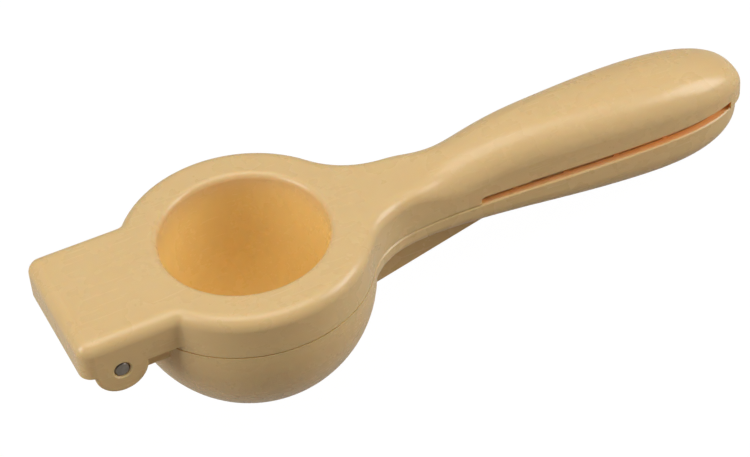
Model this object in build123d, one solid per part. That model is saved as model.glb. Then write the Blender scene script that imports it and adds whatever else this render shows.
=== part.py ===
from build123d import *
import os
from math import atan2, cos, pi, sin, sqrt

# A hinged citrus squeezer, closed. Two moulded plastic levers turn on one steel pin. Half a
# fruit lies in the strainer bowl of the lower lever, and the press cup of the upper lever is
# pushed into it when the two handles are squeezed together.
# The origin is the centre of the flat foot under the bowl. +X runs along the handle, +Z is up.

# Both levers
wall = 2.4
ring_radius = 35.7
seam_drop = 13.3
seam_gap = 0.15
seam_bevel = 0.35
edge_rounding = 3.8
overrun = 1.0

# Press cup, in the middle of the ring
rim_width = 11.6
mouth_rounding = 1.7
press_clearance = 5.2

# Strainer bowl
foot_radius = 13.1
band_extra = 0.2
slot_width = 2.2
long_slot_count = 6
long_slot_start = 5.2
short_slot_start = 10.4
slot_reach = 20.0

# Hinge tab of the upper lever, with its two ears
tab_length = 21.4
tab_half_width = 21.3
tab_depth = 11.3
tab_blend = 2.6
corner_extra = 0.2
ear_radius = 7.7
ear_width = 4.0
ear_rounding = 1.0

# Hinge pin and the knuckle that turns on it
hinge_setback = 11.05
hinge_drop = 11.8
pin_radius = 2.3
pin_bevel = 0.45
pin_recess = 0.25
press_grip = 0.01
running_clearance = 0.05
bore_mouth = 0.5
knuckle_radius = 6.0
knuckle_side_gap = 0.25
arm_rib = 2.0

# Handle, seen from above
ring_blend = 24.0
neck_curve = 85.0
neck_length = 21.3
neck_half_width = 9.8
belly_half_width = 13.3
tip_length = 30.6
handle_reach = 158.4
tip_power = 2.35
tip_setback = 1.6

# Handle, seen from the side
crest_run = 31.6
crest_rise = 5.0
crest_power = 3.2
shoulder_radius = 9.0
shoulder_run = 15.0
crown_radius = 25.0
depth_setback = 1.0
belly_depth = 14.5
neck_depth = 5.4
neck_under_rounding = 2.8
belly_rounding = 8.4
depth_tip_power = 2.5
station_shares = (
    0.03, 0.07, 0.13, 0.21, 0.32, 0.43, 0.54, 0.65, 0.75, 0.83, 0.89, 0.935, 0.965, 0.985, 0.996
)
core_shares = (0, 0.12, 0.25, 0.4, 0.55, 0.68, 0.79, 0.88, 0.94, 0.975)

# Inside the handle
rib = 1.6
rib_pitch = 16.0
rib_drop = 0.8
tongue_height = 3.9
tongue_wall = 1.6
tongue_gap = 0.5

# Long slot along the closed handle
grip_slot_lead = 11.3
grip_slot_short = 15.4
grip_slot_margin = 7.4
grip_slot_height = 2.6
grip_slot_extra = 0.3
grip_slot_rounding = 1.1

# Web under the neck
web_width = 2.6
web_overlap = 8.7
web_low_height = 10.8
web_run = 42.9
web_end_drop = 6.6

bowl_band = neck_depth - neck_under_rounding + band_extra
bowl_axis_height = sqrt(ring_radius**2 - foot_radius**2)
lower_top = bowl_axis_height + bowl_band
seam = lower_top + seam_gap
ring_top = seam + seam_drop
mouth_radius = ring_radius - rim_width
cup_depth = ring_top - 2 * wall - press_clearance
tab_reach = ring_radius + tab_length
hinge_reach = tab_reach - hinge_setback
hinge_height = ring_top - hinge_drop
ear_inner = tab_half_width - ear_width
knuckle_half = ear_inner - knuckle_side_gap
neck_reach = ring_radius + neck_length
crest_reach = neck_reach + crest_run
belly_reach = handle_reach - tip_length
belly_depth_reach = belly_reach - depth_setback
lower_reach = handle_reach - tip_setback
grip_slot_start = neck_reach + grip_slot_lead
grip_slot_end = handle_reach - grip_slot_margin


def ease(share):
    """Rises from 0 to 1, level at both ends."""
    return (1 - cos(pi * min(max(share, 0), 1))) / 2


def rounded_end(share, power):
    """Falls from 1 to 0 as the end of a superellipse does."""
    return (1 - max(share, 0) ** power) ** (1 / power)


def blend_points():
    """Centre of the arc between ring and neck, and the unit directions to its two ends."""
    to_ring = ring_radius + ring_blend
    to_neck = neck_curve - ring_blend
    neck_centre = Vector(neck_reach, neck_half_width + neck_curve)
    span = neck_centre.length
    along = (to_ring**2 - to_neck**2 + span**2) / (2 * span)
    aside = sqrt(to_ring**2 - along**2)
    unit = neck_centre / span
    centre = unit * along + Vector(unit.Y, -unit.X) * aside
    return centre, neck_centre, centre / to_ring, (centre - neck_centre) / to_neck


def blend_reach():
    """Distance from the bowl's axis to where the ring's blend ends and the neck begins."""
    _, neck_centre, _, to_neck_end = blend_points()
    return (neck_centre + to_neck_end * neck_curve).X


neck_cut = blend_reach() + wall


def neck_half(x, inset):
    """Half the width of the neck, on the large arc that narrows it."""
    return neck_half_width + neck_curve - sqrt((neck_curve + inset) ** 2 - (x - neck_reach) ** 2)


def handle_half(x, inset, reach):
    """Half the width at x of the handle that ends at reach, drawn in all round by inset."""
    if x <= neck_reach:
        return neck_half(x, inset)
    if x <= belly_reach:
        swell = ease((x - neck_reach) / (belly_reach - neck_reach))
        return neck_half_width - inset + (belly_half_width - neck_half_width) * swell
    share = (x - belly_reach) / (reach - inset - belly_reach)
    return (belly_half_width - inset) * rounded_end(share, tip_power)


def tip_share(x, inset, reach):
    """1 up to the widest place of the handle, then its width as a share of the widest."""
    return min(1, handle_half(max(x, belly_reach), inset, reach) / (belly_half_width - inset))


def ring_plan(inset, end):
    """Plan of the ring and of the neck as far as x = end."""
    centre, neck_centre, to_ring, to_neck = blend_points()
    ring_end = to_ring * (ring_radius - inset)
    blend_middle = centre - (to_ring - to_neck).normalized() * (ring_blend + inset)
    neck_start = neck_centre + to_neck * (neck_curve + inset)
    middle = (neck_start.X + end) / 2
    right = [
        ThreePointArc(ring_end, blend_middle, neck_start),
        ThreePointArc(
            neck_start, (middle, neck_half(middle, inset)), (end, neck_half(end, inset))
        ),
    ]
    left = [mirror(edge, about=Plane.XZ) for edge in right]
    ring_arc = ThreePointArc(
        ring_end, (inset - ring_radius, 0), (ring_end.X, -ring_end.Y)
    )
    end_line = Line((end, neck_half(end, inset)), (end, -neck_half(end, inset)))
    return make_face([ring_arc, *right, end_line, *left])


def tab_plan(inset):
    """Plan of the hinge tab and the ring together, with the tab's corners rounded."""
    width = 2 * (tab_half_width - inset)
    reach = tab_reach - inset
    plan = Pos(-reach / 2, 0) * Rectangle(reach, width) + Circle(ring_radius - inset)
    outer = plan.vertices().group_by(Axis.X)[0]
    plan = fillet(outer, edge_rounding + corner_extra - inset)
    inner = plan.vertices().sort_by(Axis.X)[-2:]
    return fillet(inner, tab_blend + inset)


def upper_section(x, inset, base, bevel):
    """Arched section of the upper handle at x: bevel, side, shoulder and crown."""
    rise = ease((x - neck_cut) / (crest_reach - neck_cut))
    if x <= crest_reach:
        crest = ring_top + crest_rise * rise - inset
    else:
        share = (x - crest_reach) / (handle_reach - inset - crest_reach)
        crest = seam + (seam_drop + crest_rise - inset) * rounded_end(share, crest_power)
    narrowing = tip_share(x, inset, handle_reach)
    flare = ease((x - neck_cut) / shoulder_run)
    shoulder = (edge_rounding + (shoulder_radius - edge_rounding) * flare - inset) * narrowing
    crown = (crown_radius / rise - inset) * narrowing
    half = handle_half(x, inset, handle_reach)
    return arched_section(x, half, base, crest, shoulder, crown, bevel)


def lower_section(x, inset, base, bevel):
    """Section of the lower handle at x: the same form upside down, deeper at the belly."""
    share = min((x - neck_cut) / (belly_depth_reach - neck_cut), 1)
    rise = (share + ease(share)) / 2
    depth = neck_depth + (belly_depth - neck_depth) * rise - inset
    if x > belly_depth_reach:
        beyond = (x - belly_depth_reach) / (lower_reach - inset - belly_depth_reach)
        depth = (belly_depth - inset) * rounded_end(beyond, depth_tip_power)
    narrowing = tip_share(x, inset, lower_reach)
    rounding = (neck_under_rounding + (belly_rounding - neck_under_rounding) * rise - inset) * narrowing
    crown = (crown_radius / rise - inset) * narrowing
    half = handle_half(x, inset, lower_reach)
    return arched_section(x, half, base, lower_top - depth, rounding, crown, bevel)


def arched_section(x, half, base, crest, shoulder, crown, bevel):
    """Closed outline across the handle. It arches up, or down where crest is under base."""
    way = 1 if crest > base else -1
    run = half - shoulder
    drop = sqrt((crown - shoulder) ** 2 - run**2)
    shoulder_height = crest - way * (crown - drop)
    lean = atan2(drop, run)
    touch = (run + shoulder * cos(lean), shoulder_height + way * shoulder * sin(lean))
    middle = (run + shoulder * cos(lean / 2), shoulder_height + way * shoulder * sin(lean / 2))
    foot = base + way * bevel
    right = [(half - bevel, base), (half, foot), (half, shoulder_height), middle, touch]
    at = [Vector(x, y, z) for y, z in right]
    back = [Vector(x, -y, z) for y, z in right]
    edges = [Line(at[1], at[2]), ThreePointArc(at[2], at[3], at[4])]
    edges.append(ThreePointArc(at[4], Vector(x, 0, crest), back[4]))
    edges += [ThreePointArc(back[4], back[3], back[2]), Line(back[2], back[1])]
    if bevel > 0:
        edges += [Line(back[1], back[0]), Line(back[0], at[0]), Line(at[0], at[1])]
    else:
        edges.append(Line(back[1], at[1]))
    return Face(Wire(edges))


def stations(start, end, shares):
    """Places of the sections between start and the handle's rounded end."""
    return [start + (end - start) * share for share in shares]


def straight_core(inset, low, high):
    """Upright-sided block inside the handle's outline, from height low to high."""
    start = neck_cut + wall
    sections = []
    for x in stations(start, lower_reach - inset, core_shares):
        half = handle_half(x, inset, lower_reach)
        corners = [(half, low), (half, high), (-half, high), (-half, low)]
        points = [Vector(x, y, z) for y, z in corners]
        sections.append(Face(Wire.make_polygon(points)))
    return loft(sections)


def between(x_low, x_high, half, z_low, z_high):
    """Box from x_low to x_high and z_low to z_high, reaching half to each side."""
    size = (x_high - x_low, 2 * half, z_high - z_low)
    return Pos((x_low + x_high) / 2, 0, (z_low + z_high) / 2) * Box(*size)


def rib_grid(low, high):
    """One rib along the handle and evenly spaced ribs across it."""
    start = neck_cut
    count = int((handle_reach - start) / rib_pitch)
    half = belly_half_width
    grid = between(start, handle_reach, rib / 2, low, high)
    for i in range(1, count + 1):
        x = start + i * rib_pitch
        grid += between(x - rib / 2, x + rib / 2, half, low, high)
    return grid


def cup_form(radius, depth):
    """Half of an egg-shaped solid that hangs from the ring's top."""
    arc = EllipticalCenterArc((0, 0), radius, depth, start_angle=-90, arc_size=90)
    profile = make_face([arc, Line((radius, 0), (0, 0)), Line((0, 0), (0, -depth))])
    return Pos(0, 0, ring_top) * revolve(Plane.XZ * profile, axis=Axis.Z)


def bowl_form(inset, floor, top):
    """Round bowl with an upright band at its rim, cut flat at the floor. Its seam is off the slots."""
    radius = ring_radius - inset
    arc = CenterArc((0, bowl_axis_height), radius, start_angle=-90, arc_size=90)
    rim = [Line(arc @ 1, (radius, top)), Line((radius, top), (0, top)), Line((0, top), arc @ 0)]
    between_slots = 90 / long_slot_count
    solid = Rot(0, 0, between_slots) * revolve(Plane.XZ * make_face([arc, *rim]), axis=Axis.Z)
    return solid & between(-radius, radius, radius, floor, top)


def along_y(sketch, half):
    """Solid from an outline in X and Z, reaching half to each side."""
    return extrude(Plane.XZ * sketch, amount=half, both=True)


def handle_loft(first, section, shares):
    """Smooth body through the first section and those at the stations after it."""
    return loft([first, *[section(x) for x in shares]])


def outer_edges(body, height, end):
    """Edges of a plate at one height, apart from the straight end across the neck."""
    level = [e for e in body.edges() if abs(e.center().Z - height) < seam_bevel / 2]
    return [e for e in level if e.bounding_box().min.X < end - seam_bevel]


def upper_plate():
    """Ring, tab and the start of the neck, rounded along the top and cut square at the neck."""
    end = neck_cut + ring_blend / 2
    ring = extrude(Pos(0, 0, ring_top) * ring_plan(0, end), amount=-seam_drop)
    ring = chamfer(outer_edges(ring, seam, end), seam_bevel)
    tab = extrude(Pos(0, 0, ring_top) * tab_plan(0), amount=-tab_depth)
    plate = ring + tab
    plate = fillet(outer_edges(plate, ring_top, end), edge_rounding)
    return split(plate, bisect_by=Plane.YZ.offset(neck_cut), keep=Keep.BOTTOM)


def hinge_ear(side):
    """Ear round the pin, inside and below the tab's side wall, with its outer edge rounded."""
    outline = Pos(-hinge_reach, hinge_height) * Circle(ear_radius)
    outline += Pos(-hinge_reach, hinge_height + ear_radius / 2) * Rectangle(2 * ear_radius, ear_radius)
    ear = along_y(outline, ear_width / 2)
    rim = [e for e in ear.edges() if abs(e.center().Y - side * ear_width / 2) < seam_bevel]
    top = hinge_height + ear_radius - seam_bevel
    ear = fillet([e for e in rim if e.center().Z < top], ear_rounding)
    ear = Pos(0, side * (tab_half_width - ear_width / 2), 0) * ear
    return ear & between(-tab_reach, 0, tab_half_width, 0, ring_top - edge_rounding)


def upper_lever():
    """Press cup, ring, hinge tab with two ears, and the upper half of the handle."""
    plate = upper_plate()
    first = plate.faces().sort_by(Axis.X)[-1]
    places = stations(neck_cut, handle_reach, station_shares)
    handle = handle_loft(first, lambda x: upper_section(x, 0, seam, seam_bevel), places)
    body = plate + handle

    # Hollow underside: the channel round the cup, the tab's inside and the handle's
    under = seam - overrun
    hollow_plan = ring_plan(wall, neck_cut - wall / 2) + tab_plan(wall)
    hollow = extrude(Pos(0, 0, under) * hollow_plan, amount=ring_top - wall - under)
    body -= hollow
    inside = stations(neck_cut + wall / 2, handle_reach - wall, core_shares)
    core = loft([upper_section(x, wall, under, 0) for x in inside])
    rib_foot = seam + tongue_height + rib_drop
    body -= core - rib_grid(rib_foot, ring_top + crest_rise)

    for side in (-1, 1):
        body += hinge_ear(side)

    body += cup_form(mouth_radius + wall, cup_depth + wall)
    body -= cup_form(mouth_radius, cup_depth)
    mouth = body.edges().filter_by(GeomType.CIRCLE).filter_by_position(
        Axis.Z, ring_top - seam_bevel, ring_top + seam_bevel
    )
    mouth = [e for e in mouth if abs(e.radius - mouth_radius) < seam_bevel]
    body = fillet(mouth, mouth_rounding)

    # Pin bore, with a small countersink at each end
    bore = Pos(-hinge_reach, hinge_height) * Circle(pin_radius - press_grip)
    body -= along_y(bore, tab_half_width + overrun)
    for side in (-1, 1):
        mouth_cone = Cone(pin_radius + bore_mouth, pin_radius - bore_mouth, 2 * bore_mouth)
        body -= Pos(-hinge_reach, side * tab_half_width, hinge_height) * Rot(side * 90, 0, 0) * (
            Pos(0, 0, bore_mouth) * mouth_cone
        )

    # The long slot shows between the handles when they are closed
    half = belly_half_width + overrun
    slot = between(grip_slot_start, grip_slot_end, half, under, seam + grip_slot_height)
    upper_corner = slot.edges().filter_by(Axis.Y).group_by(Axis.Z)[-1].sort_by(Axis.X)[0]
    slot = fillet(upper_corner, grip_slot_rounding)
    step_top = seam + grip_slot_height + grip_slot_extra
    slot += between(grip_slot_start + grip_slot_short, grip_slot_end, half, under, step_top)
    return body - slot


def lower_plate():
    """Start of the neck on the lower lever, rounded along its underside."""
    end = neck_cut + ring_blend / 2
    plate = extrude(Pos(0, 0, lower_top) * ring_plan(0, end), amount=-neck_depth)
    plate = chamfer(outer_edges(plate, lower_top, end), seam_bevel)
    plate = fillet(outer_edges(plate, lower_top - neck_depth, end), neck_under_rounding)
    return split(plate, bisect_by=Plane.YZ.offset(neck_cut), keep=Keep.BOTTOM)


def strainer_slots():
    """Upright slots through the bowl's floor, long and short ones in turn."""
    slots = []
    for i in range(2 * long_slot_count):
        start = short_slot_start if i % 2 else long_slot_start
        length = slot_reach - start
        slot = Pos((slot_reach + start) / 2, 0) * SlotOverall(length, slot_width)
        slots.append(Rot(0, 0, i * 180 / long_slot_count) * extrude(slot, amount=bowl_axis_height))
    return slots


def hinge_arm():
    """Knuckle round the pin and the ribbed arm that joins it to the bowl."""
    bottom = hinge_height - knuckle_radius
    arm = Pos(-hinge_reach, hinge_height) * Circle(knuckle_radius)
    slope = Polyline(
        (-hinge_reach, bottom),
        (-hinge_reach, hinge_height + knuckle_radius),
        (-ring_radius, lower_top),
        (0, lower_top),
        (0, bottom),
        (-hinge_reach, bottom),
    )
    arm += make_face(slope)
    solid = along_y(arm, knuckle_half)
    pocket_start = -hinge_reach + knuckle_radius
    pocket_width = (2 * knuckle_half - 4 * arm_rib) / 3
    for i in (-1, 0, 1):
        pocket = between(pocket_start, 0, pocket_width / 2, bottom + arm_rib, ring_top)
        solid -= Pos(0, i * (pocket_width + arm_rib), 0) * pocket
    bore = Pos(-hinge_reach, hinge_height) * Circle(pin_radius + running_clearance)
    return solid - along_y(bore, tab_half_width)


def lower_lever():
    """Strainer bowl, hinge arm, web and the lower half of the handle."""
    plate = lower_plate()
    first = plate.faces().sort_by(Axis.X)[-1]
    places = stations(neck_cut, lower_reach, station_shares)
    handle = handle_loft(first, lambda x: lower_section(x, 0, lower_top, seam_bevel), places)
    body = plate + handle

    under = lower_top + overrun
    inside = stations(neck_cut + wall / 2, lower_reach - wall, core_shares)
    core = loft([lower_section(x, wall, under, 0) for x in inside])
    body -= core - rib_grid(0, lower_top)

    # Web in the middle, from low on the bowl to the underside of the handle
    web_end = neck_reach + web_run
    web = Polyline(
        (0, web_low_height),
        (ring_radius - web_overlap, web_low_height),
        (web_end, lower_top - web_end_drop),
        (web_end, lower_top - neck_depth / 2),
        (0, lower_top - neck_depth / 2),
        (0, web_low_height),
    )
    web_solid = along_y(make_face(web), web_width / 2)
    body += web_solid - core

    bowl = bowl_form(0, 0, lower_top)
    body += hinge_arm()
    body += bowl
    body -= bowl_form(wall, wall, lower_top + overrun)
    for slot in strainer_slots():
        body -= slot

    # Upstanding tongue inside the upper handle's walls, behind the long slot
    inset = wall + tongue_gap
    tongue = straight_core(inset, lower_top - wall, seam + tongue_height)
    tongue -= straight_core(inset + tongue_wall, lower_top - wall - overrun, ring_top)
    return body + tongue


def hinge_pin():
    """Steel pin through both ears and the knuckle, its ends a little below the ears' faces."""
    pin = Cylinder(pin_radius, 2 * (tab_half_width - pin_recess))
    pin = chamfer(pin.edges(), pin_bevel)
    return Pos(-hinge_reach, 0, hinge_height) * Rot(90, 0, 0) * pin


os.makedirs("parts", exist_ok=True)
export_step(upper_lever(), "parts/upper_lever.step")
export_step(lower_lever(), "parts/lower_lever.step")
export_step(hinge_pin(), "parts/hinge_pin.step")
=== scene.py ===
from math import atan2, radians

import bpy
from mathutils import Matrix, Vector


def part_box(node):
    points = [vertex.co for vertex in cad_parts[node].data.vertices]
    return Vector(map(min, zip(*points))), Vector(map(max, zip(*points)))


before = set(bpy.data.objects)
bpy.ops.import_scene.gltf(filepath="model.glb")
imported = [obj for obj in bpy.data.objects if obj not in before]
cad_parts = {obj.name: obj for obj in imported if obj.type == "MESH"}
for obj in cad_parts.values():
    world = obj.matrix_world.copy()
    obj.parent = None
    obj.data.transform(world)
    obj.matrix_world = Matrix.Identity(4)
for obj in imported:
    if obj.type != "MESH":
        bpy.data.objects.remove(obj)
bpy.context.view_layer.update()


# The upper lever: press cup, ring, hinge tab and the upper half of the handle, in one moulding of
# glossy pale yellow plastic. The plastic is a little translucent; the deeper yellow inside the cup is
# painted shade for the light bounced inside it, and a painted glow stands for light through its side
# walls.
mm = 0.001
crest_rise = 5 * mm
ring_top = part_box("upper_lever")[1].z - crest_rise
mouth_radius = 24.1 * mm


class Wire:
    """One output in a material's node tree. Arithmetic on it adds Math nodes to that tree."""

    def __init__(self, tree, socket=None):
        self.tree = tree
        self.socket = socket

    def node(self, kind, values=None, settings=None, output=0):
        """Adds a node. Its settings are set first, then values or wires fill its inputs."""
        made = self.tree.nodes.new(kind)
        for name, value in (settings or {}).items():
            setattr(made, name, value)
        for name, value in (values or {}).items():
            if isinstance(value, Wire):
                self.tree.links.new(value.socket, made.inputs[name])
            else:
                made.inputs[name].default_value = value
        return Wire(self.tree, made.outputs[output])

    def feed(self, target, name):
        """Links this to an input of a node that is there already."""
        self.tree.links.new(self.socket, target.inputs[name])

    def maths(self, operation, first, second):
        return self.node("ShaderNodeMath", {0: first, 1: second}, {"operation": operation})

    def __add__(self, other):
        return self.maths("ADD", self, other)

    def __radd__(self, other):
        return self.maths("ADD", other, self)

    def __sub__(self, other):
        return self.maths("SUBTRACT", self, other)

    def __rsub__(self, other):
        return self.maths("SUBTRACT", other, self)

    def __mul__(self, other):
        return self.maths("MULTIPLY", self, other)

    def __rmul__(self, other):
        return self.maths("MULTIPLY", other, self)

    def length(self, other):
        """Square root of the sum of both squares."""
        return self.maths("SQRT", self * self + other * other, 0)

    def step(self, low, high):
        """Rises softly from 0 at low to 1 at high. It falls where high is under low."""
        ends = {"Value": self, "From Min": low, "From Max": high}
        return self.node("ShaderNodeMapRange", ends, {"interpolation_type": "SMOOTHSTEP"})

    def split(self):
        """The x, y and z of this position."""
        return [self.node("ShaderNodeSeparateXYZ", {0: self}, output=axis) for axis in "XYZ"]

    def noise(self, cell, detail=2.0, stretch=(1, 1, 1)):
        """Noise from 0 to 1 on this position or distance, with spots of about the given size."""
        place = self.node("ShaderNodeMapping", {"Vector": self, "Scale": stretch})
        return self.node("ShaderNodeTexNoise", {"Vector": place, "Scale": 1 / cell, "Detail": detail})

    def mix(self, first, second):
        """Colour between first and second, at this share. The numbers are the colour sockets."""
        colours = {"Factor": self, 6: first, 7: second}
        return self.node("ShaderNodeMix", colours, {"data_type": "RGBA"}, output=2)


def colour(red, green, blue):
    """Linear colour of an eye-level red, green and blue from 0 to 255."""
    def linear(level):
        share = level / 255
        return share / 12.92 if share <= 0.04045 else ((share + 0.055) / 1.055) ** 2.4
    return (linear(red), linear(green), linear(blue), 1)


def new_material(name, constants):
    """A material, the wire of object positions and its shader node, with its constants set."""
    material = bpy.data.materials.new(name)
    material.use_nodes = True
    tree = material.node_tree
    shader = tree.nodes["Principled BSDF"]
    for socket, value in constants.items():
        shader.inputs[socket].default_value = value
    position = Wire(tree).node("ShaderNodeTexCoord", output="Object")
    return material, position, shader


def lever_plastic(name, painted_shade_of, painted_glow_of, slot_shade_glow_of=None):
    """Moulded plastic. Each of the last three gives a share at x, y and z.

    The shares are those of the painted shade of the hollows' deeper yellow, of a painted glow for light
    that comes through a thin wall and of the painted orange shade and glow behind the long slot.
    """
    pale = colour(238, 205, 150)
    warm = colour(235, 199, 142)
    # Painted shade and glow: the deeper yellow of the hollows and of light through thin walls.
    shade_and_glow_yellow = colour(243, 200, 99)
    # Painted shade and glow in the slot: a darker orange base and an emitted orange light.
    slot_shade_amber = colour(208, 128, 46)
    slot_glow_amber = colour(255, 143, 24)
    black = colour(0, 0, 0)
    cloud_size = 26 * mm
    smudge_size = 9 * mm
    hairline_width = 0.7 * mm
    hairline_stretch = (0.06, 1, 1)
    ripple_size = 3.4 * mm
    grain_size = 0.35 * mm
    relief_depth = 0.05 * mm
    polish = 0.27

    material, position, shader = new_material(name, {
        "Emission Strength": 0.33,
        "IOR": 1.5,
        "Subsurface Weight": 0.3,
        "Subsurface Radius": (1, 0.5, 0.18),
        "Subsurface Scale": 4 * mm,
        "Coat Weight": 0.05,
        "Coat Roughness": 0.3,
    })
    place = position.split()
    skin = position.noise(cloud_size, 3).mix(pale, warm)
    # Painted shade: deeper yellow where the hollows are.
    base = painted_shade_of(*place).mix(skin, shade_and_glow_yellow)
    # Painted glow: emitted yellow where light comes through a thin wall.
    light = painted_glow_of(*place).mix(black, shade_and_glow_yellow)
    smudge = position.noise(smudge_size, 4).step(0.42, 0.7)
    hairline = position.noise(hairline_width, 2, hairline_stretch).step(0.58, 0.74)
    roughness = polish + 0.02 * smudge + 0.01 * hairline
    # Painted shade and glow on the tongue behind the slot.
    if slot_shade_glow_of:
        share = slot_shade_glow_of(*place)
        base = share.mix(base, slot_shade_amber)
        light = share.mix(light, slot_glow_amber)
        roughness = roughness + 0.2 * share
    base.feed(shader, "Base Color")
    light.feed(shader, "Emission Color")
    roughness.feed(shader, "Roughness")

    relief = position.noise(ripple_size, 1) + 0.1 * position.noise(grain_size, 2)
    bump = {"Height": relief, "Strength": 0.07, "Distance": relief_depth}
    position.node("ShaderNodeBump", bump).feed(shader, "Normal")
    return material


def in_cup(x, y):
    """1 within the cup's mouth and 0 outside it, with a soft edge on the mouth's rounding."""
    return x.length(y).step(mouth_radius + 0.4 * mm, mouth_radius - 0.6 * mm)


def cup_painted_shade(x, y, z):
    """Painted shade: deeper yellow from just under the rim, and a little more of it towards the bottom.
    """
    depth = ring_top - z
    under_rim = depth.step(0.8 * mm, 4.5 * mm)
    towards_bottom = depth.step(4 * mm, 30 * mm)
    return in_cup(x, y) * (0.48 * under_rim + 0.16 * towards_bottom)


def cup_painted_glow(x, y, z):
    """Painted glow for light through the cup's side walls, between its rim and its bottom."""
    depth = ring_top - z
    under_rim = depth.step(1 * mm, 4 * mm)
    over_bottom = depth.step(24 * mm, 9 * mm)
    return in_cup(x, y) * under_rim * over_bottom * 0.115


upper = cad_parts["upper_lever"]
upper.data.materials.clear()
upper.data.materials.append(lever_plastic("upper lever plastic", cup_painted_shade, cup_painted_glow))


# The lower lever: strainer bowl, hinge arm, web and the lower half of the handle, in one moulding
# of the same plastic. A tongue stands up from its handle behind the long slot; its orange there is
# painted shade and painted glow for the light that reaches it through the plastic.
seam_drop = 13.3 * mm
seam_height = ring_top - seam_drop
bowl_rim = 36 * mm
bowl_centre = 33.2 * mm
bowl_inner_radius = 33.3 * mm
slot_start = 68 * mm
slot_middle = 125 * mm
tongue_start = 60 * mm
tongue_end = 151 * mm


def bowl_painted_shade(x, y, z):
    """Painted shade: deeper yellow on the inside of the bowl, below its rim."""
    from_centre = x.length(y).length(z - bowl_centre)
    inside = from_centre.step(bowl_inner_radius + 0.5 * mm, bowl_inner_radius - 0.2 * mm)
    return inside * z.step(bowl_rim, bowl_rim - 6 * mm) * 0.6


def bowl_painted_glow(x, y, z):
    """Painted glow: a little emitted light standing for the light that comes through the bowl's wall.
    """
    return bowl_painted_shade(x, y, z) * 0.06


def tongue_painted_orange(x, y, z):
    """Painted orange shade and glow on the tongue above the seam.

    Towards the neck the painted orange starts a little higher, so the slot looks narrower there.
    """
    lift = x.step(slot_middle, slot_start) * (0.8 * mm)
    above = (z - lift).step(seam_height - 0.3 * mm, seam_height + 0.1 * mm)
    past_start = x.step(tongue_start, tongue_start + 4 * mm)
    before_end = x.step(tongue_end, tongue_end - 4 * mm)
    return above * past_start * before_end


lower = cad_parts["lower_lever"]
lower.data.materials.clear()
lower.data.materials.append(lever_plastic("lower lever plastic", bowl_painted_shade, bowl_painted_glow, tongue_painted_orange))


# The hinge pin: a cut length of steel wire with bevelled ends, pressed through the tab's two ears.
# Its end faces keep the faint rings that the cutting left.
def pin_steel():
    dark = colour(112, 106, 100)
    bright = colour(150, 145, 139)
    tone_size = 1.5 * mm
    ring_width = 0.9 * mm
    relief_depth = 0.05 * mm
    material, position, shader = new_material("pin steel", {"Metallic": 1})
    low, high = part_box("hinge_pin")
    centre = (low + high) / 2
    x, y, z = position.split()
    rings = (x - centre.x).length(z - centre.z).noise(ring_width, 2)
    tone = position.noise(tone_size, 3)
    tone.mix(dark, bright).feed(shader, "Base Color")
    (0.3 + 0.2 * tone).feed(shader, "Roughness")
    bump = {"Height": tone + 0.4 * rings, "Strength": 0.4, "Distance": relief_depth}
    position.node("ShaderNodeBump", bump).feed(shader, "Normal")
    return material


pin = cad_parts["hinge_pin"]
pin.data.materials.clear()
pin.data.materials.append(pin_steel())


# The studio: a white table, one broad soft lamp overhead and two at the sides, so that the faces
# towards the camera stay in soft shade. The tool lies tipped on its foot's edge and its handle.
def soft_lamp(name, place, size, watts):
    middle = Vector((0.05, 0, 0.03))
    light = bpy.data.lights.new(name, "AREA")
    light.shape = "RECTANGLE"
    light.size, light.size_y = size
    light.energy = watts
    lamp = bpy.data.objects.new(name, light)
    lamp.location = place
    lamp.rotation_euler = (middle - Vector(place)).to_track_quat("-Z", "Y").to_euler()
    bpy.context.scene.collection.objects.link(lamp)


soft_lamp("overhead lamp", place=(0.0, -0.10, 0.94), size=(0.9, 0.6), watts=3.85)
soft_lamp("left lamp", place=(-0.85, 0.05, 0.5), size=(0.5, 0.7), watts=4.8)
soft_lamp("right lamp", place=(0.95, -0.43, 0.64), size=(0.6, 0.7), watts=6.5)

world = bpy.data.worlds.new("studio")
world.use_nodes = True
world.node_tree.nodes["Background"].inputs["Color"].default_value = (1, 0.88, 0.74, 1)
world.node_tree.nodes["Background"].inputs["Strength"].default_value = 0.085
bpy.context.scene.world = world


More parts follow.
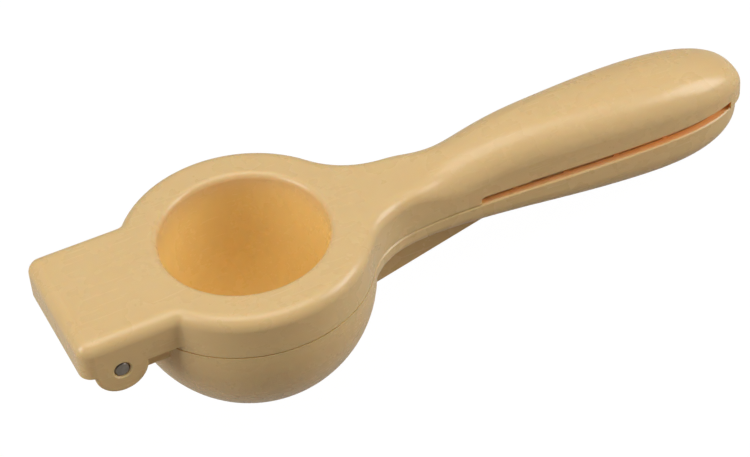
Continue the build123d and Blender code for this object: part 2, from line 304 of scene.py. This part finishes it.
def table_finish():
    """Matt board that lights the tool as a dull one does, while the camera sees it as white."""
    grey = (0.32, 0.275, 0.19, 1)
    pale_grey = (0.36, 0.31, 0.22, 1)
    cloud_size = 300 * mm
    white_strength = 1.08
    camera_share = 0.92
    mirror_share = 0.3
    material, position, shader = new_material("white table", {"Roughness": 0.7})
    position.noise(cloud_size, 2).mix(grey, pale_grey).feed(shader, "Base Color")
    camera_ray = position.node("ShaderNodeLightPath", output="Is Camera Ray")
    mirror_ray = position.node("ShaderNodeLightPath", output="Is Glossy Ray")
    seen = camera_share * camera_ray + mirror_share * mirror_ray
    board = Wire(position.tree, shader.outputs[0])
    white = position.node("ShaderNodeEmission", {"Color": (1, 1, 1, 1), "Strength": white_strength})
    surface = position.node("ShaderNodeMixShader", {0: seen, 1: board, 2: white})
    surface.feed(material.node_tree.nodes["Material Output"], "Surface")
    return material


def table():
    """Flat table that the foot's far edge and the handle's underside touch."""
    foot_edge = Vector((13.1 * mm, 0, 0))
    handle_touch = Vector((141.5 * mm, 0, 22.5 * mm))
    tilt = atan2(handle_touch.z - foot_edge.z, handle_touch.x - foot_edge.x)
    half = 3.0
    corners = [(-half, -half, 0), (half, -half, 0), (half, half, 0), (-half, half, 0)]
    mesh = bpy.data.meshes.new("table")
    mesh.from_pydata(corners, [], [(0, 1, 2, 3)])
    mesh.materials.append(table_finish())
    top = bpy.data.objects.new("table", mesh)
    top.matrix_world = Matrix.Translation(foot_edge) @ Matrix.Rotation(-tilt, 4, "Y")
    bpy.context.scene.collection.objects.link(top)


table()


def camera():
    """Camera at the photograph's place. Its aim is the point of the ring's top plane mid-picture."""
    aim = Vector((32.0, -16.96, 49.46)) * mm
    distance = 684.1 * mm
    azimuth = radians(-22.78)
    elevation = radians(42.28)
    roll = radians(-5.07)
    focal_pixels = 2500
    picture_width = 750
    data = bpy.data.cameras.new("camera")
    data.sensor_width = 36
    data.lens = data.sensor_width * focal_pixels / picture_width
    made = bpy.data.objects.new("camera", data)
    turn = Matrix.Rotation(azimuth, 4, "Z") @ Matrix.Rotation(radians(90) - elevation, 4, "X")
    place = aim + turn.to_3x3() @ Vector((0, 0, distance))
    made.matrix_world = Matrix.Translation(place) @ turn @ Matrix.Rotation(roll, 4, "Z")
    bpy.context.scene.collection.objects.link(made)
    bpy.context.scene.camera = made


camera()
bpy.context.scene.view_settings.view_transform = "Standard"
